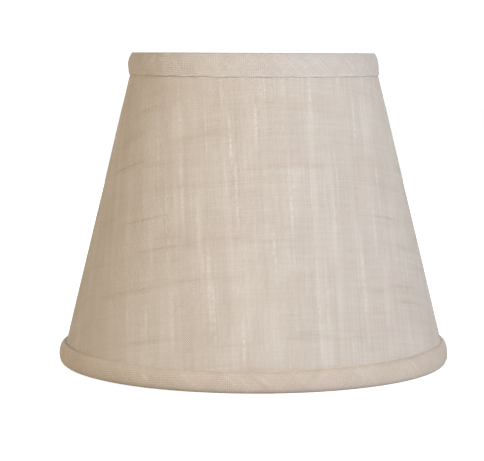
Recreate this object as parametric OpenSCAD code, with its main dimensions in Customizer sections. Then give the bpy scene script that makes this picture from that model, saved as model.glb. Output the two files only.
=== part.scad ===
// Hardback empire lamp shade with a washer-type spider fitter.
// Millimetres, +Z up. The origin is on the shade's axis, on the plane that the base rim stands on.
// The lap seam of the cover is at the back, on +Y.

/* [Shade] */
// Overall height, rim to rim
shade_h = 203.2; // [160:0.1:300]
// Diameter of the linen cone where it meets the base plane
base_d = 254; // [200:1:400]
// Diameter of the linen cone where it meets the top plane
top_d = 155; // [120:1:200]

/* [Cover] */
// Thickness of the linen face cloth
linen_t = 0.5; // [0.3:0.05:0.8]
// Thickness of the styrene backing sheet
liner_t = 0.35; // [0.2:0.05:0.6]
// Thickness of every adhesive film, in the seam and under the trims
film_t = 0.1; // [0.05:0.01:0.2]
// How far the cover's cut edges stop short of each rim
cover_inset = 1.8; // [1.2:0.1:2.2]
// Width of the lap seam, as an angle round the axis
lap_deg = 6; // [3:0.5:9]

/* [Trims] */
// Thickness of the folded trim cloth
tape_t = 0.6; // [0.4:0.05:0.8]
// Height of the top trim's outer leaf
top_trim_h = 14.9; // [12:0.1:20]
// Height of the base trim's outer leaf
base_trim_h = 13.8; // [12:0.1:20]
// How far the puffed outer leaf stands off the cone
trim_puff = 2.5; // [1.8:0.05:3.5]
// Height of the leaf tucked inside, behind the wire
inner_leaf_h = 10; // [7:0.5:14]
// Rounding of the base trim's lower outside corner
base_corner_r = 2; // [1:0.1:2.4]
// Rounding of the top trim's upper outside corner
top_corner_r = 0.6; // [0.4:0.1:1]
// Thickness of the glue line along a trim's edge
glue_line = 0.45; // [0.2:0.05:0.8]

/* [Fitter] */
// Diameter of the ring and arm wire
wire_d = 2.6; // [2:0.1:3.2]
// Outer diameter of the fitter washer
washer_d = 25.4; // [22:0.1:32]
// Diameter of the hole for the harp's screw
washer_hole_d = 11.1; // [10.5:0.1:13]
// Thickness of the fitter washer
washer_t = 1.6; // [1.2:0.1:2]
// Depth of the washer's upper face below the top rim
washer_drop = 12.7; // [11:0.1:30]
// Bend radius of an arm, at the wire's centre
arm_bend_r = 4; // [3.5:0.1:6]
// Depth of the flat coined under an arm's inner end
coin_t = 0.4; // [0.2:0.05:0.6]
// Width of the gap cut in the top trim's inner leaf at each arm
notch_w = 5.6; // [5:0.1:8]

/* [Hidden] */
$fn = 180;
wire_fn = 48;

linen_colour = "#d5c8b8";
trim_colour = "#cfbfaa";
styrene_colour = "#f3f0ea";
wire_colour = "#c9a55c";
glue_colour = "#c69a63";
tape_colour = "#ece6d8";

// Cone. Thicknesses are measured square to the wall, and radii across it.
taper = (base_d - top_d) / 2 / shade_h;
across = sqrt(1 + taper * taper);
sheet_t = linen_t + liner_t;
lap_step = (sheet_t + film_t) * across;
function cone_r(z) = base_d / 2 - taper * z;
function inside_r(z) = cone_r(z) - sheet_t * across;

// Lap seam, round the back. The overlapping end steps outward through a short wall in each layer.
back_az = 90;
lap_start = back_az - lap_deg / 2;
lap_end = back_az + lap_deg / 2;
lap_wall_deg = 0.35;
lap_slit_deg = 0.1;
lap_clear_deg = 0.2;
lap_from = lap_start - lap_clear_deg;
lap_to = lap_end + 2 * lap_wall_deg + lap_clear_deg;

// Wire rings, held against the inside of the cover and wrapped by the trims. They are made to a tenth of
// a millimetre.
wire_r = wire_d / 2;
ring_inset = tape_t + film_t + wire_r;
ring_gap = (wire_r + film_t) * across;
top_ring_z = shade_h - ring_inset;
base_ring_z = ring_inset;
function ring_size(z) = floor(10 * (inside_r(z) - ring_gap)) / 10;
top_ring_r = ring_size(top_ring_z);
base_ring_r = ring_size(base_ring_z);

// Spider arms: out from the ring, down a slope of 4 in 3 and level again on to the washer
arm_slope = atan(4 / 3);
arm_count = 3;
arm_step = 360 / arm_count;
washer_top_z = shade_h - washer_drop;
arm_low_z = washer_top_z + wire_r - coin_t;
arm_lead = 4;
arm_butt_gap = 0.02;
arm_butt_r = top_ring_r - wire_r - arm_butt_gap;
arm_end_r = 8.2;
bend_drop = 2 * arm_bend_r * (1 - cos(arm_slope));
slope_len = (top_ring_z - arm_low_z - bend_drop) / sin(arm_slope);
upper_bend_r = top_ring_r - arm_lead;
slope_top_r = upper_bend_r - arm_bend_r * sin(arm_slope);
slope_foot_r = slope_top_r - slope_len * cos(arm_slope);
lower_bend_r = slope_foot_r - arm_bend_r * sin(arm_slope);
weld_len = 1.5;
weld_wide_r = 1.8;
weld_thin_r = 1.45;
bead_r = 2;
bead_at_r = 10.8;
joint_gap = 0.2;

// Trims. The puff of an outer leaf peaks at a share of its height, counted upward.
top_puff_peak = 0.56;
base_puff_peak = 0.7;
puff_steps = 14;
arc_steps = 6;
leaf_settle = 3.2;
notch_deg = notch_w / top_ring_r * 180 / PI;

// One layer of the sheet from inside thickness t0 to t1, as a section of the cone wall
module wall_section(t0, t1, z0, z1, step = 0)
    polygon([
        [cone_r(z0) - t1 * across + step, z0],
        [cone_r(z0) - t0 * across + step, z0],
        [cone_r(z1) - t0 * across + step, z1],
        [cone_r(z1) - t1 * across + step, z1]
    ]);

// Turns a section about the axis from one azimuth to another
module sweep(from, to)
    rotate([0, 0, from]) rotate_extrude(angle = to - from) children();

// One layer of the rolled sheet: the full turn, the end that laps over it and the wall between them
module rolled_layer(t0, t1, wall_at) {
    z0 = cover_inset;
    z1 = shade_h - cover_inset;
    lead_deg = wall_at * lap_wall_deg;
    rotate([0, 0, lap_end + lead_deg]) {
        rotate_extrude(angle = 360 - lead_deg - lap_slit_deg) wall_section(t0, t1, z0, z1);
        rotate_extrude(angle = -lap_deg - lead_deg) wall_section(t0, t1, z0, z1, lap_step);
        rotate_extrude(angle = lap_wall_deg)
            polygon([
                [cone_r(z0) - t1 * across, z0],
                [cone_r(z0) - t0 * across + lap_step, z0],
                [cone_r(z1) - t0 * across + lap_step, z1],
                [cone_r(z1) - t1 * across, z1]
            ]);
    }
}

module linen_cover()
    color(linen_colour) rolled_layer(0, linen_t, 1);

module styrene_liner()
    color(styrene_colour) rolled_layer(linen_t, sheet_t, 0);

// Adhesive strip between the sheet's inner end and the end that laps over it
module seam_tape()
    color(tape_colour)
        sweep(lap_start, lap_end - lap_slit_deg)
            wall_section(-film_t, 0, cover_inset, shade_h - cover_inset);

module wire_ring(r, z)
    translate([0, 0, z])
        rotate_extrude($fn = 2 * $fn) translate([r, 0]) circle(r = wire_r, $fn = wire_fn);

module top_ring() color(wire_colour) wire_ring(top_ring_r, top_ring_z);

module base_ring() color(wire_colour) wire_ring(base_ring_r, base_ring_z);

// Straight wire in the XZ plane, from radius r0 at height z0, len long, sloping down towards the axis
module arm_rod(r0, z0, len, slope)
    translate([r0, 0, z0]) rotate([0, -90 - slope, 0]) cylinder(r = wire_r, h = len, $fn = wire_fn);

// Bend in the XZ plane about a centre, from one angle over a sweep
module arm_bend(r, z, from, turn)
    translate([r, 0, z])
        rotate([90, 0, 0])
            rotate([0, 0, from])
                rotate_extrude(angle = turn)
                    translate([arm_bend_r, 0]) circle(r = wire_r, $fn = wire_fn);

// An arm along +X. Its outer end butts against the ring, and its inner end is coined flat on the washer.
module arm_wire()
    difference() {
        union() {
            arm_rod(arm_butt_r, top_ring_z, arm_butt_r - upper_bend_r, 0);
            arm_bend(upper_bend_r, top_ring_z - arm_bend_r, 90, arm_slope);
            arm_rod(slope_top_r, top_ring_z - bend_drop / 2, slope_len, arm_slope);
            arm_bend(lower_bend_r, arm_low_z + arm_bend_r, 270, arm_slope);
            arm_rod(lower_bend_r, arm_low_z, lower_bend_r - arm_end_r, 0);
        }
        translate([0, -wire_d, washer_top_z - wire_d])
            cube([washer_d / 2 + joint_gap, 2 * wire_d, wire_d]);
    }

// Places a child at one of the arms, counted from the back
module at_arm(i) rotate([0, 0, back_az + i * arm_step]) children();

module spider_arm(i) color(wire_colour) at_arm(i) arm_wire();

module spider_arm_1() spider_arm(0);

module spider_arm_2() spider_arm(1);

module spider_arm_3() spider_arm(2);

module fitter_washer()
    color(wire_colour)
        translate([0, 0, washer_top_z - washer_t])
            difference() {
                cylinder(d = washer_d, h = washer_t);
                translate([0, 0, -washer_t]) cylinder(d = washer_hole_d, h = 3 * washer_t);
            }

// A tapered collar of weld round each arm where it meets the top ring
module arm_ring_welds()
    color(wire_colour)
        for (i = [0 : arm_count - 1])
            at_arm(i)
                difference() {
                    translate([top_ring_r, 0, top_ring_z])
                        rotate([0, -90, 0])
                            cylinder(r1 = weld_wide_r, r2 = weld_thin_r, h = wire_r + weld_len);
                    arm_rod(arm_butt_r, top_ring_z, 2 * weld_len, 0);
                    wire_ring(top_ring_r, top_ring_z);
                    translate([top_ring_r - joint_gap, -weld_wide_r * 2, top_ring_z - weld_wide_r * 2])
                        cube(weld_wide_r * 4);
                }

// A bead of weld on each side of an arm where it lies on the washer
module arm_washer_welds()
    color(wire_colour)
        for (i = [0 : arm_count - 1])
            at_arm(i)
                difference() {
                    translate([bead_at_r, 0, washer_top_z]) sphere(r = bead_r);
                    translate([0, 0, arm_low_z])
                        rotate([0, 90, 0]) cylinder(r = wire_r, h = washer_d);
                    translate([bead_at_r, 0, washer_top_z - bead_r])
                        cube([3 * bead_r, 3 * bead_r, 2 * bead_r], center = true);
                }

// Stand-off of an outer leaf at v, the share of its height counted upward, and never under least
function puff_shape(v, peak) =
    v < peak
        ? 1 - pow((peak - v) / peak, 2)
        : sqrt(max(0, 1 - pow((v - peak) / (1 - peak), 3)));
function puff(v, peak, least) = max(trim_puff * puff_shape(v, peak), least);

function arc_points(r, h, radius, from, to, steps) = [
    for (i = [0 : steps])
        let (a = from + (to - from) * i / steps)
            [r + radius * cos(a), h + radius * sin(a)]
];

// A trim rises from its rim (up is 1, the base) or hangs from it (up is -1, the top). Heights called h
// are counted from the rim, and rim_at turns them into heights above the base plane.
function rim_at(h, up) = up > 0 ? h : shade_h - h;
function from_rim(points, up) = [for (p = points) [p[0], rim_at(p[1], up)]];
function cone_at(h, up) = cone_r(rim_at(h, up));
function inside_at(h, up) = inside_r(rim_at(h, up));
function share_at(h, up, leaf_h) = up > 0 ? h / leaf_h : 1 - h / leaf_h;

// Outer face of a trim from the leaf's edge to the rounded corner, as points
function outer_face(up, leaf_h, peak, corner_r, least) = [
    for (i = [puff_steps : -1 : 0])
        let (h = corner_r + (leaf_h - corner_r) * i / puff_steps)
            [cone_at(h, up) + puff(share_at(h, up, leaf_h), peak, least), h]
];

// Angle at which a straight line to a point, dr out and dh up from a circle's centre, leaves the circle
function leaving_angle(dr, dh, radius) = atan2(dh, dr) + acos(radius / norm([dr, dh]));

// Folded section of a trim: outer leaf, rim, fold round the wire and the leaf tucked up behind it
module trim_section(up, leaf_h, peak, corner_r, ring_r) {
    settle_h = ring_inset + leaf_settle;
    face = outer_face(up, leaf_h, peak, corner_r, tape_t + film_t);
    corner_at_r = face[puff_steps][0] - corner_r;
    function back_r(h) = inside_at(h, up) - film_t;
    function face_r(h) = back_r(h) - tape_t * across;
    face_leaves = leaving_angle(face_r(settle_h) - ring_r, leaf_settle, ring_inset);
    back_leaves = leaving_angle(back_r(settle_h) - ring_r, leaf_settle, wire_r + film_t);
    polygon(from_rim(concat(
        [[cone_at(leaf_h, up) + film_t, leaf_h]],
        face,
        arc_points(corner_at_r, corner_r, corner_r, 0, -90, arc_steps),
        arc_points(ring_r, ring_inset, ring_inset, -90, face_leaves - 360, 2 * arc_steps),
        [[face_r(settle_h), settle_h], [face_r(inner_leaf_h), inner_leaf_h]],
        [[back_r(inner_leaf_h), inner_leaf_h], [back_r(settle_h), settle_h]],
        arc_points(ring_r, ring_inset, wire_r + film_t, back_leaves, 330, 2 * arc_steps),
        [[inside_at(cover_inset, up), cover_inset - film_t]],
        [[cone_at(cover_inset, up) + film_t, cover_inset - film_t]]
    ), up));
}

// Where a trim rides over the lap seam, its outer face stands a sheet's thickness further out
module lap_pad_section(up, leaf_h, peak, corner_r) {
    face = outer_face(up, leaf_h, peak, corner_r, tape_t + film_t + lap_step);
    polygon(from_rim(concat(
        [[cone_at(leaf_h, up) + tape_t / 2, leaf_h]],
        [for (p = face) [p[0] + film_t, p[1]]],
        [[cone_at(corner_r, up) + tape_t, corner_r / 2]]
    ), up));
}

// Room under a trim for the end of the sheet that laps over
module lap_room_section(up, leaf_h) {
    past_h = leaf_h + tape_t;
    near_h = cover_inset - 2 * film_t;
    polygon(from_rim([
        [cone_at(near_h, up) - liner_t, near_h],
        [cone_at(near_h, up) + film_t + lap_step, near_h],
        [cone_at(past_h, up) + film_t + lap_step, past_h],
        [cone_at(past_h, up) - liner_t, past_h]
    ], up));
}

module trim(up, leaf_h, peak, corner_r, ring_r)
    difference() {
        union() {
            rotate_extrude() trim_section(up, leaf_h, peak, corner_r, ring_r);
            sweep(lap_from - lap_clear_deg, lap_to + lap_clear_deg)
                lap_pad_section(up, leaf_h, peak, corner_r);
        }
        sweep(lap_from, lap_to) lap_room_section(up, leaf_h);
    }

// The inner leaf is notched where the three arms pass through it
module top_trim()
    color(trim_colour)
        difference() {
            trim(-1, top_trim_h, top_puff_peak, top_corner_r, top_ring_r);
            for (i = [0 : arm_count - 1])
                at_arm(i)
                    sweep(-notch_deg / 2, notch_deg / 2)
                        translate([top_ring_r - 3 * wire_d, shade_h - 2 * inner_leaf_h])
                            square([3 * wire_d - film_t, 3 * inner_leaf_h]);
        }

module base_trim()
    color(trim_colour) trim(1, base_trim_h, base_puff_peak, base_corner_r, base_ring_r);

// A fillet of glue in the corner between the linen and a trim's edge
module glue_ring(edge_z, up) {
    module fillet(step)
        polygon([
            [cone_r(edge_z) + film_t + step, edge_z],
            [cone_r(edge_z) + film_t + step + glue_line, edge_z],
            [cone_r(edge_z + up * glue_line) + film_t + step, edge_z + up * glue_line]
        ]);
    sweep(lap_to, lap_from + 360) fillet(0);
    sweep(lap_from, lap_to) fillet(lap_step);
}

module top_trim_glue() color(glue_colour) glue_ring(shade_h - top_trim_h, -1);

module base_trim_glue() color(glue_colour) glue_ring(base_trim_h, 1);

linen_cover();
styrene_liner();
seam_tape();
top_ring();
base_ring();
spider_arm_1();
spider_arm_2();
spider_arm_3();
fitter_washer();
arm_ring_welds();
arm_washer_welds();
top_trim();
base_trim();
top_trim_glue();
base_trim_glue();
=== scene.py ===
"""Hardback empire lamp shade in slub linen: the looks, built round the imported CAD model.

Metres, +Z up, the axis of the shade on Z and its front on -Y. Azimuths are in degrees from +X, as in the
CAD, so the front is at 270 and the lap seam at 90. Degrees off the front run from -180 to 180, positive
towards +X. Recipes for the trims and the thick yarns are in millimetres.
"""

import math
import random

import bmesh
import bpy
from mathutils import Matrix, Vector


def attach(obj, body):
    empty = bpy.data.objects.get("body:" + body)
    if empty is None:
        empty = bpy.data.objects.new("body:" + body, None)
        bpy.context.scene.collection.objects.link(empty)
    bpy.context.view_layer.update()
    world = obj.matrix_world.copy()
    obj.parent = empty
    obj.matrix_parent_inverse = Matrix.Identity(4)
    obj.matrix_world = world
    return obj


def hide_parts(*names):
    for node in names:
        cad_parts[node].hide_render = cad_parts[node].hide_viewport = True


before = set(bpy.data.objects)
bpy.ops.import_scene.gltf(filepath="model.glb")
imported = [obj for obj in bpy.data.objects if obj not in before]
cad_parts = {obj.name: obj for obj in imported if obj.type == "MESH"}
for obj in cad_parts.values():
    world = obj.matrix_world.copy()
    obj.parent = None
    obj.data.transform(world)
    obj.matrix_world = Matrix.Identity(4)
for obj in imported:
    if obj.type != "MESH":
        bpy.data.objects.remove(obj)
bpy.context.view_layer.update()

# ---- dimensions that the CAD has too -----------------------------------------------------------------
MM = 0.001
SHADE_H = 203.2 * MM
BASE_R = 127 * MM
TOP_R = 77.5 * MM
TAPER = (BASE_R - TOP_R) / SHADE_H
SLOPE = math.atan(TAPER)
# level width of a sheet that is 1 thick square to the cone
ACROSS = math.sqrt(1 + TAPER * TAPER)
LINEN_T = 0.5 * MM
# linen and styrene together
SHEET_T = 0.85 * MM
FILM_T = 0.1 * MM
TAPE_T = 0.6 * MM
COVER_INSET = 1.8 * MM
WIRE_R = 1.3 * MM
RING_INSET = TAPE_T + FILM_T + WIRE_R
TOP_RING_R = 75.6 * MM
BASE_RING_R = 124.1 * MM
INNER_LEAF_H = 10 * MM
LAP_STEP = (SHEET_T + FILM_T) * ACROSS
# the sheet's end on top, the step where it comes down on the styrene, and its end underneath
LAP_START, LAP_WALL, LAP_END = 87.0, 93.35, 92.9
FRONT_AZ, BACK_AZ = 270.0, 90.0
ARM_AZIMUTHS = (90.0, 210.0, 330.0)
NOTCH_HALF_W = 2.8 * MM


def cone_r(z):
    """Outer radius of the linen at a height."""
    return BASE_R - TAPER * z


def inside_r(z):
    """Inner radius of the styrene at a height."""
    return cone_r(z) - SHEET_T * ACROSS


def ease(x):
    """0 below 0, 1 above 1 and a smooth rise between."""
    x = min(max(x, 0.0), 1.0)
    return x * x * (3 - 2 * x)


def half_ease(x):
    """A rise from 0 to 1 that is straighter in its middle than ease."""
    return 0.6 * x + 0.4 * ease(x)


def off_front(az):
    """Degrees off the front of an azimuth."""
    return (az - FRONT_AZ + 180) % 360 - 180


def off_back(az):
    """Degrees off the back of an azimuth, positive towards -X."""
    return (az - BACK_AZ + 180) % 360 - 180


def at(az, r, z):
    """The point at an azimuth, radius and height."""
    a = math.radians(az)
    return Vector((r * math.cos(a), r * math.sin(a), z))


def waves(rng, count, shortest, longest):
    """A smooth random function of azimuth between about -1 and 1 that closes on itself round the shade.

    shortest and longest are the waves' lengths in degrees."""
    parts = []
    for _ in range(count):
        turns = round(360 / (shortest * (longest / shortest) ** rng.random()))
        parts.append((max(turns, 1), rng.uniform(0, 2 * math.pi)))
    scale = 1.4 / math.sqrt(count)
    return lambda az: scale * sum(math.sin(n * math.radians(az) + p) for n, p in parts)


def steps(start, step, count):
    """Evenly spaced numbers from a start."""
    return [start + step * i for i in range(count)]


# ---- meshes ------------------------------------------------------------------------------------------
UV_NAME = "Cloth"
SHARP_DEG = 50


def finish_mesh(name, bm):
    """Turns a bmesh into a mesh and frees it."""
    mesh = bpy.data.meshes.new(name)
    bm.to_mesh(mesh)
    bm.free()
    return mesh


def new_object(name, mesh):
    """Puts a mesh in the scene under a name, shaded smooth apart from its sharp edges."""
    for polygon in mesh.polygons:
        polygon.use_smooth = True
    mesh.set_sharp_from_angle(angle=math.radians(SHARP_DEG))
    piece = bpy.data.objects.new(name, mesh)
    bpy.context.scene.collection.objects.link(piece)
    return piece


def ring_mesh(name, points, uvs, skip=None):
    """A surface through a grid of points[column][row] whose last column joins the first, with UVs.

    uvs has one column more than points, for the join, and skip(column, row) leaves a cell out."""
    columns, rows = len(points), len(points[0])
    bm = bmesh.new()
    uv_layer = bm.loops.layers.uv.new(UV_NAME)
    verts = [[bm.verts.new(p) for p in column] for column in points]
    for c in range(columns):
        n = (c + 1) % columns
        for r in range(rows - 1):
            if skip is not None and skip(c, r):
                continue
            face = bm.faces.new((verts[c][r], verts[n][r], verts[n][r + 1], verts[c][r + 1]))
            corners = (uvs[c][r], uvs[c + 1][r], uvs[c + 1][r + 1], uvs[c][r + 1])
            for loop, uv in zip(face.loops, corners):
                loop[uv_layer].uv = uv
    bmesh.ops.delete(bm, geom=[v for v in bm.verts if not v.link_faces], context="VERTS")
    return finish_mesh(name, bm)


def shell_mesh(name, outer, inner, uvs):
    """A closed sheet between two grids of points[column][row]."""
    last_c, last_r = len(outer) - 1, len(outer[0]) - 1
    bm = bmesh.new()
    uv_layer = bm.loops.layers.uv.new(UV_NAME)
    sides = [[[bm.verts.new(p) for p in column] for column in side] for side in (outer, inner)]

    def quad(*corners):
        face = bm.faces.new([sides[s][c][r] for s, c, r in corners])
        for loop, (_, c, r) in zip(face.loops, corners):
            loop[uv_layer].uv = uvs[c][r]

    for c in range(last_c):
        for r in range(last_r):
            quad((0, c, r), (0, c + 1, r), (0, c + 1, r + 1), (0, c, r + 1))
            quad((1, c, r), (1, c, r + 1), (1, c + 1, r + 1), (1, c + 1, r))
        quad((0, c, 0), (1, c, 0), (1, c + 1, 0), (0, c + 1, 0))
        quad((0, c, last_r), (0, c + 1, last_r), (1, c + 1, last_r), (1, c, last_r))
    for r in range(last_r):
        quad((0, 0, r), (0, 0, r + 1), (1, 0, r + 1), (1, 0, r))
        quad((0, last_c, r), (1, last_c, r), (1, last_c, r + 1), (0, last_c, r + 1))
    bmesh.ops.recalc_face_normals(bm, faces=bm.faces)
    return finish_mesh(name, bm)


# ---- linen cover -------------------------------------------------------------------------------------
COVER_COLUMN_DEG = 0.75
COVER_ROWS = 48
# how far the cloth lifts off the cone in slow and in quick waves, and their turn from base to top
QUICK_LIFT, QUICK_TURN = 0.05 * MM, 40
SLOW_LIFT, SLOW_TURN = 0.03 * MM, -150
LINEN_CLEAR = 0.02 * MM


def flat_pattern(off, z):
    """Where a point of the cone lies on the flat cloth, in metres from the middle of the front."""
    apex_z = BASE_R / TAPER
    reach = (apex_z - z) * ACROSS
    middle = (apex_z - SHADE_H / 2) * ACROSS
    spread = math.radians(off) * math.sin(SLOPE)
    return reach * math.sin(spread), middle - reach * math.cos(spread)


def cover_azimuths():
    """Columns of the rolled sheet, closer together where it steps up on to the lap."""
    az = steps(LAP_START, 0.05, 4) + steps(LAP_START + 0.5, 0.5, 12) + steps(LAP_WALL - 0.15, 0.05, 16)
    end = LAP_END + 360
    count = round((end - az[-1]) / COVER_COLUMN_DEG)
    return az + [az[-1] + (end - az[-1]) * i / count for i in range(1, count + 1)]


def build_cover():
    """The linen: one sheet rolled round the styrene, with its end stepped over its start at the back."""
    rng = random.Random(11)
    quick = waves(rng, 9, 11, 70)
    slow = waves(rng, 5, 40, 120)
    outer, inner, uvs = [], [], []
    z0, z1 = COVER_INSET, SHADE_H - COVER_INSET
    for az in cover_azimuths():
        step_out = LAP_STEP * (1 - ease((az - LAP_WALL - 0.15) / 0.3))
        step_in = LAP_STEP * (1 - ease((az - LAP_WALL - 0.01) / 0.2))
        out_column, in_column, uv_column = [], [], []
        for k in range(COVER_ROWS + 1):
            z = z0 + (z1 - z0) * k / COVER_ROWS
            body = math.sin(math.pi * k / COVER_ROWS)
            lift = QUICK_LIFT * (1 + quick(az + QUICK_TURN * z / SHADE_H) * body)
            lift += SLOW_LIFT * (1 + slow(az + SLOW_TURN * z / SHADE_H))
            out_column.append(at(az, cone_r(z) + step_out + max(lift, 0), z))
            in_column.append(at(az, cone_r(z) - LINEN_T * ACROSS + step_in + LINEN_CLEAR, z))
            uv_column.append(flat_pattern(az - FRONT_AZ, z))
        outer.append(out_column)
        inner.append(in_column)
        uvs.append(uv_column)
    return new_object("linen_cover_sheet", shell_mesh("linen_cover_sheet", outer, inner, uvs))


# ---- trims -------------------------------------------------------------------------------------------
CLOTH_T = 0.45 * MM
HALF_CLOTH = CLOTH_T / 2
HEM_DEPTH = 7 * MM
# height at which the cloth reaches the styrene after its turn round the wire
LEAF_START_H = RING_INSET + 3.2 * MM
# rows of the parts of a trim's section
HEM_ROWS, FOLD_ROWS, FACE_ROWS, CORNER_ROWS, WIRE_ROWS, LEAF_ROWS = 4, 6, 17, 8, 12, 4
TRIM_COLUMNS = 420
# how far the corner of the cloth stays outside the middle of the ring's wire
CORNER_CLEAR = 0.1 * MM
# the lapped end of a tape: how far it stands out, and where it rises and fades, in degrees off the back
END_T = 0.75 * MM
END_AT, END_STEP_DEG, END_FADE_AT, END_FADE_DEG = -6.5, 0.18, 3, 7
# where a trim rides over the cover's lap, in degrees
LAP_MIDDLE, LAP_HALF_DEG, LAP_FADE_DEG = 0.3, 3.6, 2.2


class Trim:
    """A bias tape folded over a rim. Heights called h are counted from the rim into the shade.

    up is 1 for the base and -1 for the top. face is the stand-off of its outer face from the cone, as
    (share of the leaf's height, millimetres) pairs from the rim to the leaf's edge, full scales it and
    fuller_left is how much more it is scaled on the left. fold_h is the height of the turned edge and
    blunt how round it is. sway_h moves the leaf's edge at the sides against the front, slant_h moves it
    on the right against the left, and lean_h tilts the whole trim. Sizes are given in millimetres."""

    def __init__(self, name, up, ring_r, leaf_h, corner_r, fold_h, blunt, face, full, fuller_left,
                 sway_h, slant_h, lean_h, seed):
        self.name, self.up, self.ring_r, self.blunt = name, up, ring_r, blunt
        self.leaf_h, self.corner_r, self.fold_h = leaf_h * MM, corner_r * MM, fold_h * MM
        self.sway_h, self.slant_h, self.lean_h = sway_h * MM, slant_h * MM, lean_h * MM
        self.face = [(share, stand * MM) for share, stand in face]
        self.full, self.fuller_left = full, fuller_left
        rng = random.Random(seed)
        self.edge_ripple = waves(rng, 8, 6, 40)
        self.edge_sway = waves(rng, 3, 70, 180)
        self.puff_ripple = waves(rng, 9, 5, 22)
        self.puff_sway = waves(rng, 4, 40, 120)
        self.pucker = waves(rng, 10, 3.2, 9)

    def z(self, h):
        """Height above the base plane."""
        return h if self.up > 0 else SHADE_H - h

    def cone(self, h):
        """Outer radius of the linen."""
        return cone_r(self.z(h))

    def leaf_r(self, h):
        """Radius of the middle of the inner leaf's cloth, against the styrene."""
        return inside_r(self.z(h)) - FILM_T - HALF_CLOTH * ACROSS

    def edge_h(self, az):
        """Height of the outer leaf's edge from the rim."""
        off = math.radians(off_front(az))
        ripple = 0.10 * MM * self.edge_ripple(az) + 0.10 * MM * self.edge_sway(az)
        return self.leaf_h - self.sway_h * math.cos(2 * off) + self.slant_h * math.sin(off) + ripple

    def lean(self, az):
        """How far the trim sits above its true height. Both lean down to the right, inside the rims."""
        return self.lean_h * (self.up - math.sin(math.radians(off_front(az)))) / 2

    def seam_rise(self, az):
        """How far the cover's lap pushes the trim out."""
        off = abs(off_back(az - LAP_MIDDLE))
        return LAP_STEP * (1 - ease((off - LAP_HALF_DEG) / LAP_FADE_DEG))

    def end_rise(self, az):
        """How far the tape's turned-in end stands out where it laps over its start."""
        off = off_back(az)
        return END_T * ease((off - END_AT) / END_STEP_DEG) * (1 - ease((off - END_FADE_AT) / END_FADE_DEG))

    def stand_off(self, share, az):
        """Stand-off of the outer face at a share of the leaf's height, from the rim to the leaf's edge."""
        d = self.face[-1][1]
        for (s0, d0), (s1, d1) in zip(self.face, self.face[1:]):
            if share <= s1:
                d = d0 + (d1 - d0) * half_ease((share - s0) / (s1 - s0))
                break
        d *= self.full - self.fuller_left * math.sin(math.radians(off_front(az)))
        body = math.sin(math.pi * min(max(share, 0), 1)) ** 0.7
        d += body * (0.13 * MM * self.puff_sway(az) + 0.09 * MM * self.puff_ripple(az))
        return d + body * 0.05 * MM * self.pucker(az + 9 * share)

    def hem_points(self, az):
        """The hem, flat on the linen up to the leaf's edge, and the cloth as it comes back over it."""
        edge_h, rise = self.edge_h(az), self.seam_rise(az)
        fold_at = edge_h - self.fold_h
        under = FILM_T + HALF_CLOTH + rise
        over = under + CLOTH_T
        fold_out = self.stand_off(fold_at / edge_h, az) - HALF_CLOTH + rise + self.end_rise(az)
        heights = [edge_h - HEM_DEPTH + (HEM_DEPTH - self.fold_h) * k / HEM_ROWS for k in range(HEM_ROWS)]
        heights += [fold_at + (self.fold_h - CLOTH_T) * k / FOLD_ROWS for k in range(FOLD_ROWS)]
        points = [(self.cone(h) + under, h) for h in heights]
        for k in range(FOLD_ROWS + 1):
            t = k / FOLD_ROWS
            h = edge_h - HALF_CLOTH - (self.fold_h - HALF_CLOTH) * t
            points.append((self.cone(h) + over + (fold_out - over) * t**self.blunt, h))
        return points

    def face_points(self, az):
        """The outer face, from the turned edge to the corner."""
        edge_h, rise = self.edge_h(az), self.seam_rise(az) + self.end_rise(az)
        fold_at = edge_h - self.fold_h
        points = []
        for k in range(1, FACE_ROWS + 1):
            h = fold_at + (self.corner_r - fold_at) * k / FACE_ROWS
            d = self.stand_off(h / edge_h, az) - HALF_CLOTH + rise * ease(h / (0.35 * edge_h))
            points.append((self.cone(h) + d, h))
        return points

    def corner_points(self, r_at, h_at):
        """Round the corner on to the rim, from the last point of the face."""
        bend = self.corner_r - HALF_CLOTH
        bend_r = min(bend, r_at - self.ring_r - CORNER_CLEAR)
        angles = [math.pi / 2 * k / CORNER_ROWS for k in range(1, CORNER_ROWS + 1)]
        return [(r_at - bend_r + bend_r * math.cos(a), h_at - bend * math.sin(a)) for a in angles]

    def wire_points(self):
        """Round the wire, from under it to where the cloth leaves it for the styrene."""
        reach = RING_INSET - HALF_CLOTH
        dr, dh = self.leaf_r(LEAF_START_H) - self.ring_r, LEAF_START_H - RING_INSET
        leave = math.atan2(dh, dr) + math.acos(reach / math.hypot(dr, dh)) - 2 * math.pi
        start = -math.pi / 2
        angles = [start + (leave - start) * k / WIRE_ROWS for k in range(WIRE_ROWS + 1)]
        return [(self.ring_r + reach * math.cos(a), RING_INSET + reach * math.sin(a)) for a in angles]

    def leaf_points(self, az):
        """The inner leaf, against the styrene."""
        leaf_edge = INNER_LEAF_H + 0.25 * MM * self.edge_ripple(az + 137)
        heights = [LEAF_START_H + (leaf_edge - LEAF_START_H) * k / LEAF_ROWS for k in range(LEAF_ROWS + 1)]
        return [(self.leaf_r(h), h) for h in heights]

    def section(self, az):
        """The middle of the cloth from the hem's hidden edge to the inner leaf's edge, as (r, h) points."""
        points = self.hem_points(az) + self.face_points(az)
        points += self.corner_points(*points[-1])
        self.wire_row = len(points)
        return points + self.wire_points() + self.leaf_points(az)

    def azimuths(self):
        """Columns once round the shade from the tape's lapped end, closer together there."""
        base = [i * 360 / TRIM_COLUMNS for i in range(TRIM_COLUMNS)]
        fine = steps(BACK_AZ + END_AT - 0.2, 0.06, 8)
        keep = [a for a in base if not fine[0] - 0.3 < a < fine[-1] + 0.3]
        return sorted(a if a >= fine[0] else a + 360 for a in keep + fine)

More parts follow.
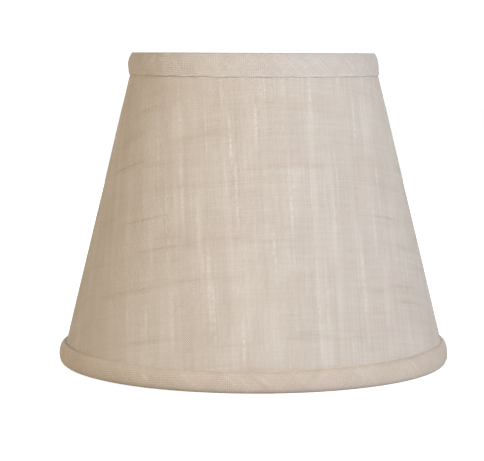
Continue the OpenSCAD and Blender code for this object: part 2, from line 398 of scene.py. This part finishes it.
    def uv_column(self, az, section):
        """How far along and across the tape each point of a section lies."""
        along = math.radians(az - FRONT_AZ) * self.cone(self.leaf_h / 2)
        across, column = 0.0, [(along, 0.0)]
        for p, q in zip(section, section[1:]):
            across += math.hypot(q[0] - p[0], q[1] - p[1])
            column.append((along, self.up * across))
        return column

    def notches(self, azimuths):
        """A test for the cells that the notches for the three arms take out of the inner leaf."""
        half_deg = math.degrees(NOTCH_HALF_W / self.ring_r)
        half_column = 0.4
        cut = [any(abs(az + half_column - arm) < half_deg for arm in ARM_AZIMUTHS) for az in azimuths]
        return lambda column, row: cut[column] and row >= self.wire_row

    def build(self):
        """The tape as one surface through its middle, with the cloth's thickness put on both sides."""
        azimuths = self.azimuths()
        sections = [self.section(az) for az in azimuths]
        points = []
        for az, section in zip(azimuths, sections):
            points.append([at(az, r, self.z(h) + self.lean(az)) for r, h in section])
        ends = zip(azimuths + [azimuths[0] + 360], sections + [sections[0]])
        uvs = [self.uv_column(az, section) for az, section in ends]
        skip = self.notches(azimuths) if self.up < 0 else None
        piece = new_object(self.name, ring_mesh(self.name, points, uvs, skip))
        solid = piece.modifiers.new("Cloth thickness", "SOLIDIFY")
        solid.thickness = CLOTH_T
        solid.offset = 0
        solid.use_even_offset = True
        return piece


base_trim = Trim(
    "base_trim_tape", up=1, ring_r=BASE_RING_R, leaf_h=13.8, corner_r=4.4, fold_h=2.2, blunt=0.5,
    face=[(0, 0.6), (0.2, 1.3), (0.3, 2.0), (0.42, 2.5), (0.56, 2.85), (0.7, 3.0), (0.84, 2.85),
          (0.93, 2.4), (1.0, 2.0)],
    full=1.0, fuller_left=0.05, sway_h=0.7, slant_h=0.7, lean_h=0.4, seed=23,
)
top_trim = Trim(
    "top_trim_tape", up=-1, ring_r=TOP_RING_R, leaf_h=14.1, corner_r=1.6, fold_h=3.4, blunt=0.8,
    face=[(0, 1.5), (0.1, 1.9), (0.19, 2.35), (0.28, 2.5), (0.4, 2.5), (0.53, 2.36), (0.62, 2.1),
          (0.7, 1.8), (0.8, 1.4), (1.0, 1.15)],
    full=1.01, fuller_left=0.21, sway_h=-0.3, slant_h=0.0, lean_h=0.6, seed=31,
)


# ---- glue lines --------------------------------------------------------------------------------------
GLUE_SIDES = 7
GLUE_COLUMNS = 720
GLUE_LEAST = 0.05 * MM


def build_glue(name, trim, least, most, strongest_off, seed):
    """A fine uneven bead of glue in the corner between the linen and a trim's edge.

    least and most are its radius in millimetres, and strongest_off is where it is thickest, in degrees
    off the front."""
    rng = random.Random(seed)
    ripple = waves(rng, 12, 1.6, 9)
    patch = waves(rng, 4, 25, 90)
    turns = [2 * math.pi * k / GLUE_SIDES for k in range(GLUE_SIDES)]
    bm = bmesh.new()
    rings = []
    for az in steps(0, 360 / GLUE_COLUMNS, GLUE_COLUMNS):
        near = 0.5 + 0.5 * math.cos(math.radians(off_front(az) - strongest_off))
        size = least + (most - least) * near * (0.75 + 0.25 * patch(az)) + 0.04 * ripple(az)
        size = max(size * MM, GLUE_LEAST)
        h = trim.edge_h(az) - 0.1 * MM + 0.35 * size
        z = trim.z(h) + trim.lean(az)
        r = cone_r(z) + trim.seam_rise(az) + 0.12 * MM + 0.45 * size
        rings.append([bm.verts.new(at(az, r + size * math.cos(t), z + size * math.sin(t))) for t in turns])
    for ring, following in zip(rings, rings[1:] + rings[:1]):
        for k in range(GLUE_SIDES):
            n = (k + 1) % GLUE_SIDES
            bm.faces.new((ring[k], following[k], following[n], ring[n]))
    bmesh.ops.recalc_face_normals(bm, faces=bm.faces)
    return new_object(name, finish_mesh(name, bm))


# ---- nodes -------------------------------------------------------------------------------------------
def rgb(red, green, blue):
    """A colour given as it looks on a screen, from 0 to 255, for a colour socket."""
    def linear(c):
        c /= 255
        return c / 12.92 if c <= 0.04045 else ((c + 0.055) / 1.055) ** 2.4

    return (linear(red), linear(green), linear(blue), 1.0)


class Nodes:
    """Short calls for building a material's node tree."""

    def __init__(self, name):
        self.material = bpy.data.materials.new(name)
        self.material.use_nodes = True
        self.tree = self.material.node_tree
        self.tree.nodes.clear()
        self.shader = self.tree.nodes.new("ShaderNodeBsdfPrincipled")
        output = self.tree.nodes.new("ShaderNodeOutputMaterial")
        self.tree.links.new(self.shader.outputs["BSDF"], output.inputs["Surface"])

    def put(self, socket, value):
        """Links an output to a socket, or sets the socket to a value."""
        if isinstance(value, bpy.types.NodeSocket):
            self.tree.links.new(value, socket)
        else:
            socket.default_value = value

    def set(self, **values):
        """Values on the shader's own sockets, named in lower case with underscores."""
        names = {s.name.lower().replace(" ", "_"): s for s in self.shader.inputs}
        for key, value in values.items():
            self.put(names[key], value)

    def math(self, operation, *values):
        node = self.tree.nodes.new("ShaderNodeMath")
        node.operation = operation
        for socket, value in zip(node.inputs, values):
            self.put(socket, value)
        return node.outputs[0]

    def add(self, a, b):
        return self.math("ADD", a, b)

    def times(self, a, b):
        return self.math("MULTIPLY", a, b)

    def most(self, a, b):
        return self.math("MAXIMUM", a, b)

    def apart(self, a, b):
        """How far a value lies from a number."""
        return self.math("ABSOLUTE", self.add(a, -b))

    def ramp(self, value, low, high, to_low=0.0, to_high=1.0):
        """A smooth step of a value between two limits."""
        node = self.tree.nodes.new("ShaderNodeMapRange")
        node.interpolation_type = "SMOOTHSTEP"
        for socket, v in zip(node.inputs[:5], (value, low, high, to_low, to_high)):
            self.put(socket, v)
        return node.outputs[0]

    def vector(self, x, y, z=0.0):
        node = self.tree.nodes.new("ShaderNodeCombineXYZ")
        for socket, v in zip(node.inputs, (x, y, z)):
            self.put(socket, v)
        return node.outputs[0]

    def split(self, vector):
        node = self.tree.nodes.new("ShaderNodeSeparateXYZ")
        self.put(node.inputs[0], vector)
        return node.outputs[0], node.outputs[1], node.outputs[2]

    def noise(self, vector, scale=1.0, detail=2.0, roughness=0.5):
        node = self.tree.nodes.new("ShaderNodeTexNoise")
        self.put(node.inputs["Vector"], vector)
        node.inputs["Scale"].default_value = scale
        node.inputs["Detail"].default_value = detail
        node.inputs["Roughness"].default_value = roughness
        return node.outputs[0]

    def patches(self, x, y, shift=0.0, detail=2.0, roughness=0.5):
        """Stretched noise. x and y are (value, patches to a unit) pairs."""
        return self.noise(self.vector(self.times(*x), self.times(*y), shift), 1.0, detail, roughness)

    def chance(self, x, y=0.0):
        """A random number from 0 to 1 for each whole pair of numbers."""
        node = self.tree.nodes.new("ShaderNodeTexWhiteNoise")
        node.noise_dimensions = "2D"
        self.put(node.inputs["Vector"], self.vector(x, y))
        return node.outputs["Value"]

    def blend(self, factor, a, b, mode="MIX"):
        """A colour between a and b by a factor."""
        node = self.tree.nodes.new("ShaderNodeMix")
        node.data_type = "RGBA"
        node.blend_type = mode
        self.put(node.inputs[0], factor)
        self.put(node.inputs[6], a)
        self.put(node.inputs[7], b)
        return node.outputs[2]

    def pick(self, factor, a, b):
        """A number between a and b by a factor."""
        node = self.tree.nodes.new("ShaderNodeMix")
        node.data_type = "FLOAT"
        self.put(node.inputs[0], factor)
        self.put(node.inputs[2], a)
        self.put(node.inputs[3], b)
        return node.outputs[0]

    def uv(self, turn=0.0):
        """Coordinates on the flat cloth in metres, turned by an angle in degrees."""
        node = self.tree.nodes.new("ShaderNodeUVMap")
        node.uv_map = UV_NAME
        turned_uv = self.tree.nodes.new("ShaderNodeMapping")
        self.put(turned_uv.inputs["Vector"], node.outputs[0])
        turned_uv.inputs["Rotation"].default_value = (0, 0, math.radians(turn))
        return turned_uv.outputs[0]

    def place(self):
        """A point's place in the object, in metres."""
        return self.tree.nodes.new("ShaderNodeTexCoord").outputs["Object"]

    def bump(self, height, distance, strength=1.0):
        node = self.tree.nodes.new("ShaderNodeBump")
        node.inputs["Strength"].default_value = strength
        node.inputs["Distance"].default_value = distance
        self.put(node.inputs["Height"], height)
        self.put(self.shader.inputs["Normal"], node.outputs[0])


# ---- woven cloth -------------------------------------------------------------------------------------
THICK_YARN_COLOUR = rgb(255, 251, 244)
OPEN_WARP_COLOUR = rgb(232, 224, 215)
FLUSH_COLOUR = rgb(196, 176, 168)
# colour of the painted shade round the outer corners of the rims
RIM_SHADE_COLOUR = rgb(132, 126, 120)
YARN_WANDER = 1.2 * MM
# how pale the yarns beside a thick one are, as a share of the thick one
BESIDE_THICK = 0.6
# the weave's openness changes between these places, in metres off the middle of the front
OPEN_FROM, OPEN_TO = -0.075, 0.02
# how strongly the painted shade darkens the outer corners of the rims
RIM_SHADE_STRENGTH = 0.75


class Weave(Nodes):
    """The yarns of a plain weave: their numbers, places, roundness, tones and thick stretches."""

    def __init__(self, name, turn, pitch):
        super().__init__(name)
        self.pitch = pitch
        x, y, _ = self.split(self.uv(turn))
        wobble = self.patches((x, 90), (y, 60), detail=1.0)
        sag = self.patches((x, 50), (y, 90), 7.0, detail=1.0)
        self.x = self.add(x, self.times(self.add(wobble, -0.5), YARN_WANDER))
        self.y = self.add(y, self.times(self.add(sag, -0.5), YARN_WANDER))
        across, along = self.times(self.x, 1 / pitch), self.times(self.y, 1 / pitch)
        self.warp_no, self.weft_no = self.math("FLOOR", across), self.math("FLOOR", along)
        self.warp_at = self.times(self.add(self.warp_no, 0.5), pitch)
        self.weft_at = self.times(self.add(self.weft_no, 0.5), pitch)
        self.warp_round = self.math("SINE", self.times(self.math("FRACT", across), math.pi))
        self.weft_round = self.math("SINE", self.times(self.math("FRACT", along), math.pi))
        both = self.add(self.warp_no, self.weft_no)
        self.weft_over = self.math("ABSOLUTE", self.math("MODULO", both, 2.0))
        self.uneven = self.patches((self.x, 200), (self.y, 420))
        warp_drift = self.patches((self.warp_no, 7.31), (self.y, 26), roughness=0.6)
        weft_drift = self.patches((self.x, 26), (self.weft_no, 5.17), 4.0, roughness=0.6)
        self.warp_tone = self.pick(0.5, self.ramp(warp_drift, 0.25, 0.75), self.chance(self.warp_no))
        self.weft_tone = self.pick(0.35, self.ramp(weft_drift, 0.25, 0.75), self.chance(self.weft_no, 5.0))

    def slub_mask(self, at_across, at_along, half_l):
        """1 along a thick stretch of warp, a lower value along the yarns beside it and 0 off them."""
        off = self.apart(self.warp_at, at_across)
        beside = self.times(self.math("LESS_THAN", off, 1.5 * self.pitch), BESIDE_THICK)
        yarn = self.most(self.math("LESS_THAN", off, 0.5 * self.pitch), beside)
        far = self.apart(self.y, at_along)
        return self.times(yarn, self.ramp(far, 0.3 * half_l, half_l, 1.0, 0.0))

    def band_mask(self, at_across, at_along, half_l, half_w):
        """1 in the middle of a short band of weft, fading to 0 past its sides and at its ends."""
        off, far = self.apart(self.weft_at, at_along), self.apart(self.x, at_across)
        faded = 1.3 * half_w
        side = self.ramp(off, 0.15 * faded, faded, 1.0, 0.0)
        return self.times(side, self.ramp(far, 0.1 * half_l, half_l, 1.0, 0.0))

    def slubs(self, thick):
        """Thick pale stretches of warp, which the weft breaks into dots."""
        found = self.patches((self.warp_no, 3.7), (self.y, 15), 9.0, detail=1.0)
        slub = self.ramp(found, 0.66, 0.74, 0.0, 0.6)
        for stretch in thick:
            slub = self.most(slub, self.slub_mask(*stretch))
        return self.times(slub, self.ramp(self.uneven, 0.32, 0.6, 0.3, 1.0))

    def bands(self, thick):
        """Broad streaks and short bands of tan weft."""
        found = self.patches((self.x, 14), (self.y, 130), 2.0, detail=3.0, roughness=0.55)
        band = self.times(self.ramp(found, 0.52, 0.78), 0.5)
        own = self.ramp(self.chance(self.weft_no, 9.0), 0.0, 1.0, 0.3, 1.0)
        broken = self.times(self.ramp(self.uneven, 0.3, 0.65, 0.35, 1.0), own)
        for stretch in thick:
            band = self.most(band, self.times(self.band_mask(*stretch), broken))
        return band

    def looseness(self, open_left, open_right):
        """How open the weave is, from 0 to 1. The weft shows darker between the warps where it is open."""
        mean = self.ramp(self.split(self.uv())[0], OPEN_FROM, OPEN_TO, open_left, open_right)
        cloud = self.patches((self.x, 22), (self.y, 17), 5.0)
        loose = self.math("MULTIPLY_ADD", self.add(cloud, -0.5), 0.9, mean)
        return self.math("MINIMUM", self.most(loose, 0.0), 1.0)

    def height(self, slub, band):
        """The relief of the yarns. The thicker warp stands higher than the weft."""
        warp = self.times(self.warp_round, self.math("POWER", self.weft_round, 0.4))
        weft = self.times(self.weft_round, self.math("POWER", self.warp_round, 0.4))
        warp_top = self.times(warp, self.add(self.times(slub, 0.8), 1.0))
        weft_top = self.times(weft, self.add(self.times(band, 0.4), 0.45))
        return self.pick(self.weft_over, warp_top, weft_top)


def woven(name, turn, warp, weft, bar, pale, slubs=(), bars=(), streak=1.0, pitch=0.70 * MM,
          relief=0.34 * MM, open_left=0.0, open_right=0.0, thick_pale=0.8, finish=None):
    """Plain-woven slub cloth with a pale warp and a tan weft. Every yarn has a tone that drifts along it.

    warp and weft are each a darker and a lighter colour, bar is the colour of the thickest weft and pale
    of the palest stretches of cloth. slubs are thick warp yarns as (across, along, half length) in metres
    on the cloth, and thick_pale is how pale they are. bars are thick weft yarns as (across, along, half
    length, half width), and streak is the strength of all tan streaks. open_left and open_right say how
    open the weave is, and finish is a last change of colour."""
    n = Weave(name, turn, pitch)
    slub, band, loose = n.slubs(slubs), n.bands(bars), n.looseness(open_left, open_right)
    ends = n.ramp(n.patches((n.x, 110), (n.y, 10), 6.0, detail=3.0, roughness=0.6), 0.42, 0.75)
    blotch = n.ramp(n.patches((n.x, 34), (n.y, 24), 1.0, detail=3.0, roughness=0.6), 0.35, 0.75)
    flush = n.ramp(n.patches((n.x, 30), (n.y, 40), 8.0), 0.5, 0.72)

    warp_colour = n.blend(n.warp_tone, *warp)
    warp_colour = n.blend(n.times(slub, thick_pale), warp_colour, THICK_YARN_COLOUR)
    warp_colour = n.blend(n.times(loose, 0.6), warp_colour, OPEN_WARP_COLOUR)
    weft_colour = n.blend(n.weft_tone, *weft)
    weft_colour = n.blend(n.times(band, 0.5 * streak), weft_colour, bar)
    weft_colour = n.blend(n.times(loose, 0.75), weft_colour, bar)
    colour = n.blend(n.weft_over, warp_colour, weft_colour)
    colour = n.blend(n.times(ends, 0.34), colour, pale)
    colour = n.blend(n.times(blotch, 0.16 * streak), colour, bar)
    colour = n.blend(n.times(band, 0.36 * streak), colour, bar)
    colour = n.blend(n.times(flush, 0.3), colour, FLUSH_COLOUR)

    height = n.height(slub, band)
    # painted shade in the hollows between the yarns: the colour darkens where the yarns lie low
    hollow_shade = n.ramp(height, 0.0, 0.35, 0.68, 1.0)
    colour = n.blend(1.0, colour, n.vector(hollow_shade, hollow_shade, hollow_shade), "MULTIPLY")
    if finish is not None:
        colour = finish(n, colour)
    tone = n.pick(n.weft_over, n.warp_tone, n.weft_tone)
    n.set(base_color=colour, roughness=n.pick(tone, 0.9, 0.78), sheen_weight=0.2, sheen_roughness=0.45,
          sheen_tint=(1.0, 0.96, 0.9, 1.0), specular_ior_level=0.25)
    n.bump(height, relief)
    return n.material


# ---- the linen and the tapes -------------------------------------------------------------------------
GRAIN_TILT = -3.2
BIAS_TURN = 48.0
# The thickest yarns on the front. Warp: degrees off the front, height and half length
THICK_WARP = [
    (-29, 140, 62), (-40.5, 146, 50), (-31.5, 104, 44), (-13.7, 62, 38), (-12, 50, 26), (-6, 117, 24),
    (-14, 179, 12), (-19, 96, 20), (7, 80, 22), (13, 118, 34), (20, 49, 38), (23, 58, 24), (37, 60, 38),
    (29, 104, 22), (52, 118, 22), (45, 160, 20), (24, 176, 14), (-25, 40, 24), (-34, 36, 18),
    (-3, 30, 18), (-48, 80, 30), (1, 158, 18), (-9, 150, 20), (30, 20, 18), (46, 96, 24),
]
# Weft: degrees off the front, height, half length and half width
THICK_WEFT = [
    (56, 57, 26, 2.1), (57, 47, 28, 1.8), (-43, 100, 34, 1.8), (-30, 84, 30, 1.9), (-34, 27, 34, 1.8),
    (-44, 55, 38, 2.2), (-49, 167, 22, 2.0), (56, 177, 20, 1.4), (48, 137, 22, 1.2), (-58, 130, 34, 2.2),
    (54, 100, 24, 1.2), (-20, 66, 26, 1.5), (6, 90, 24, 1.2),
]
# On the tapes: degrees off the front and half length
THICK_TOP_TAPE = [(-47, 7), (-44, 9), (-36, 6), (-12, 5), (22, 5), (48, 6)]
THICK_BASE_TAPE = [(-50, 6), (-31, 5), (-6, 8), (-2.5, 9), (3, 6), (31, 5), (52, 6)]


def on_grain(u, v, turn):
    """A place on the flat cloth as coordinates across and along its turned grain."""
    a = math.radians(turn)
    return u * math.cos(a) - v * math.sin(a), u * math.sin(a) + v * math.cos(a)


def on_linen(off, z, *sizes):
    """A thick yarn of the cover on the linen's own grain, with its sizes in metres."""
    return *on_grain(*flat_pattern(off, z * MM), GRAIN_TILT), *(size * MM for size in sizes)


def on_tape(trim, off, half_l):
    """A thick yarn that crosses the middle of a trim's face, on the tape's own grain."""
    u = math.radians(off) * trim.cone(trim.leaf_h / 2)
    v = trim.up * (HEM_DEPTH + trim.leaf_h / 2)
    return *on_grain(u, v, BIAS_TURN), half_l * MM


def linen_material():
    """The cover's linen, more open on the left."""
    return woven(
        "Slub linen", GRAIN_TILT, warp=(rgb(190, 179, 168), rgb(211, 202, 193)),
        weft=(rgb(182, 169, 156), rgb(201, 190, 178)), bar=rgb(168, 146, 124), pale=rgb(222, 213, 204),
        open_left=0.62, open_right=-0.12,
        slubs=[on_linen(*yarn) for yarn in THICK_WARP], bars=[on_linen(*yarn) for yarn in THICK_WEFT],
    )


def painted_rim_shade(n, colour, z_from, z_to, ring_r):
    """Darkens a cloth to a thin line of painted shade round the outer corner of its rim, where the rounded
    edge turns away from the light.
    """
    x, y, z = n.split(n.place())
    radius = n.math("SQRT", n.add(n.times(x, x), n.times(y, y)))
    rim_shaded = n.times(n.ramp(z, z_from, z_to), n.ramp(radius, ring_r + 0.6 * MM, ring_r + 1.4 * MM))
    return n.blend(n.times(rim_shaded, RIM_SHADE_STRENGTH), colour, RIM_SHADE_COLOUR)


def tape_material(name, trim, thick, shade_from, shade_to, **cloth):
    """The linen cut on the bias for a trim. Its painted rim shade grows between two heights, counted from
    the rim.
    """
    # paints shade round the outer corner of this trim's rim
    def shade_rim(n, colour):
        return painted_rim_shade(n, colour, trim.z(shade_from * MM), trim.z(shade_to * MM), trim.ring_r)

    slubs = [on_tape(trim, off, half_l) for off, half_l in thick]
    return woven(name, BIAS_TURN, slubs=slubs, streak=0.8, pitch=0.76 * MM, finish=shade_rim, **cloth)


def top_tape_material():
    """The tape on the top rim."""
    return tape_material(
        "Bias linen tape, top", top_trim, THICK_TOP_TAPE, shade_from=0.8, shade_to=0.1,
        warp=(rgb(182, 172, 164), rgb(197, 188, 180)), weft=(rgb(172, 161, 151), rgb(188, 178, 169)),
        bar=rgb(164, 145, 127), pale=rgb(198, 189, 181),
        relief=0.22 * MM, open_left=0.38, open_right=-0.1, thick_pale=0.3,
    )


def base_tape_material():
    """The tape on the base rim, a little browner."""
    return tape_material(
        "Bias linen tape, base", base_trim, THICK_BASE_TAPE, shade_from=0.9, shade_to=0.2,
        warp=(rgb(180, 167, 153), rgb(195, 182, 169)), weft=(rgb(172, 156, 140), rgb(188, 174, 159)),
        bar=rgb(162, 142, 122), pale=rgb(196, 184, 172),
        relief=0.2 * MM, open_left=0.25, open_right=0.06, thick_pale=0.24,
    )


# ---- other materials ---------------------------------------------------------------------------------
def glue_material():
    """Dried glue, amber where it is thick."""
    n = Nodes("Dried glue")
    thick = n.noise(n.place(), 260.0)
    n.set(base_color=n.blend(n.ramp(thick, 0.3, 0.7), rgb(214, 186, 152), rgb(200, 160, 118)),
          roughness=n.pick(thick, 0.3, 0.55), coat_weight=0.2, specular_ior_level=0.5)
    n.bump(thick, 0.05 * MM)
    return n.material


def styrene_material():
    """Off-white backing sheet, with a faint roll grain and the weave pressed through it."""
    n = Nodes("Styrene sheet")
    x, y, z = n.split(n.place())
    around = n.math("ARCTAN2", y, x)
    grain = n.patches((around, 60), (z, 5), detail=3.0, roughness=0.6)
    cloud = n.noise(n.place(), 14.0, 3.0)
    press = n.noise(n.place(), 900.0, 1.0)
    colour = n.blend(grain, rgb(243, 239, 231), rgb(233, 227, 215))
    colour = n.blend(n.times(n.ramp(cloud, 0.4, 0.8), 0.35), colour, rgb(225, 216, 200))
    n.set(base_color=colour, roughness=n.pick(grain, 0.36, 0.5), specular_ior_level=0.45)
    n.bump(n.add(grain, n.times(press, 0.4)), 0.05 * MM, 0.5)
    return n.material


def metal_material(name, light, dark, smooth, dull):
    """Plated steel with drawing lines, dull patches and fine pits."""
    n = Nodes(name)
    x, y, z = n.split(n.place())
    patch = n.noise(n.place(), 90.0, 3.0, 0.6)
    pits = n.noise(n.place(), 1400.0)
    lines = n.noise(n.vector(n.times(x, 150), n.times(y, 150), n.times(z, 2600)), 1.0, 1.0)
    colour = n.blend(n.ramp(patch, 0.35, 0.7), light, dark)
    n.set(base_color=colour, metallic=1.0, roughness=n.pick(patch, smooth, dull))
    n.bump(n.add(n.times(lines, 0.6), n.times(pits, 0.4)), 0.03 * MM, 0.6)
    return n.material


def adhesive_material():
    """The edge of the strip that holds the lap seam."""
    n = Nodes("Seam adhesive")
    cloud = n.noise(n.place(), 120.0, 3.0)
    colour = n.blend(cloud, rgb(236, 230, 214), rgb(216, 204, 182))
    n.set(base_color=colour, roughness=n.pick(cloud, 0.4, 0.6))
    n.bump(cloud, 0.04 * MM, 0.5)
    return n.material


def give(piece, material):
    """Puts a material on a new piece."""
    piece.data.materials.append(material)


def repaint(node, material):
    """Puts a material on a CAD node."""
    for material_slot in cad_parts[node].material_slots:
        material_slot.material = material


# ---- the pieces --------------------------------------------------------------------------------------
cover = build_cover()
top_tape = top_trim.build()
base_tape = base_trim.build()
top_glue = build_glue("top_trim_glue_line", top_trim, least=0.10, most=0.14, strongest_off=0, seed=5)
base_glue = build_glue("base_trim_glue_line", base_trim, least=0.10, most=0.22, strongest_off=55, seed=7)

glue = glue_material()
give(cover, linen_material())
give(top_tape, top_tape_material())
give(base_tape, base_tape_material())
give(top_glue, glue)
give(base_glue, glue)

repaint("styrene_liner", styrene_material())
repaint("seam_tape", adhesive_material())
wire_brass = metal_material("Brass-plated wire", rgb(226, 190, 118), rgb(196, 154, 84), 0.24, 0.42)
disc_brass = metal_material("Brass-plated washer", rgb(230, 196, 124), rgb(202, 162, 92), 0.2, 0.36)
weld = metal_material("Plated weld", rgb(196, 162, 100), rgb(150, 116, 66), 0.34, 0.55)
for node in ("top_ring", "base_ring", "spider_arm_1", "spider_arm_2", "spider_arm_3"):
    repaint(node, wire_brass)
repaint("fitter_washer", disc_brass)
for node in ("arm_ring_welds", "arm_washer_welds"):
    repaint(node, weld)

for piece, node, slot in (
    (cover, "linen_cover", "linen"),
    (top_tape, "top_trim", "trim_cloth"),
    (base_tape, "base_trim", "trim_cloth"),
    (top_glue, "top_trim_glue", "glue"),
    (base_glue, "base_trim_glue", "glue"),
):
    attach(piece, "root")
    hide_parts(node)


# ---- floor, light and camera -------------------------------------------------------------------------
FLOOR_SIZE = 12
FLOOR_DROP = 0.2 * MM
FLOOR_GREY = 0.6
# light of the floor and of the background that only the camera sees, and the soft light all round
FLOOR_GLOW = 0.85
BACKGROUND_LIGHT = 1.2
ROOM_LIGHT = 0.275
CAMERA_PLACE = (0, -1.206, 0.2032)
CAMERA_LENS = 136.45
# degrees
CAMERA_DOWN, CAMERA_LEFT = 5.55, 0.370


def floor():
    """A plain pale floor just under the base rim."""
    bpy.ops.mesh.primitive_plane_add(size=FLOOR_SIZE, location=(0, 0, -FLOOR_DROP))
    plane = bpy.context.object
    plane.name = "studio_floor"
    n = Nodes("White floor")
    path = n.tree.nodes.new("ShaderNodeLightPath")
    n.set(base_color=(FLOOR_GREY, FLOOR_GREY, FLOOR_GREY, 1), roughness=0.9, specular_ior_level=0.0,
          emission_color=(1, 1, 1, 1), emission_strength=n.times(path.outputs["Is Camera Ray"], FLOOR_GLOW))
    give(plane, n.material)


def area_light(name, place, size, power, colour):
    """A square lamp that faces the middle of the shade."""
    data = bpy.data.lights.new(name, "AREA")
    data.energy = power
    data.size = size
    data.color = colour
    lamp = bpy.data.objects.new(name, data)
    lamp.location = place
    lamp.rotation_euler = (Vector((0, 0, SHADE_H / 2)) - Vector(place)).to_track_quat("-Z", "Y").to_euler()
    bpy.context.scene.collection.objects.link(lamp)


def studio_world():
    """White behind the object, and a dimmer soft light all round it."""
    world = bpy.data.worlds.new("Studio")
    bpy.context.scene.world = world
    world.use_nodes = True
    tree = world.node_tree
    background = tree.nodes["Background"]
    background.inputs["Color"].default_value = (1, 1, 1, 1)
    path = tree.nodes.new("ShaderNodeLightPath")
    level = tree.nodes.new("ShaderNodeMapRange")
    level.inputs["To Min"].default_value = ROOM_LIGHT
    level.inputs["To Max"].default_value = BACKGROUND_LIGHT
    tree.links.new(path.outputs["Is Camera Ray"], level.inputs["Value"])
    tree.links.new(level.outputs[0], background.inputs["Strength"])


def camera():
    """At the height of the top rim, 1.2 m in front, looking a little down."""
    data = bpy.data.cameras.new("Camera")
    data.lens = CAMERA_LENS
    data.sensor_width = 36
    data.sensor_fit = "HORIZONTAL"
    view = bpy.data.objects.new("Camera", data)
    view.location = CAMERA_PLACE
    view.rotation_euler = (math.radians(90 - CAMERA_DOWN), 0, math.radians(CAMERA_LEFT))
    bpy.context.scene.collection.objects.link(view)
    bpy.context.scene.camera = view


floor()
studio_world()
area_light("key_right", place=(0.9, -1.3, 0.6), size=0.8, power=33.2, colour=(0.9, 0.94, 1.0))
area_light("fill_left", place=(-1.35, -0.75, 0.45), size=0.9, power=15, colour=(1.0, 0.83, 0.57))
area_light("back_soft", place=(0, 1.5, 0.6), size=1.2, power=16, colour=(1.0, 0.98, 0.95))
camera()
bpy.context.scene.view_settings.view_transform = "Standard"
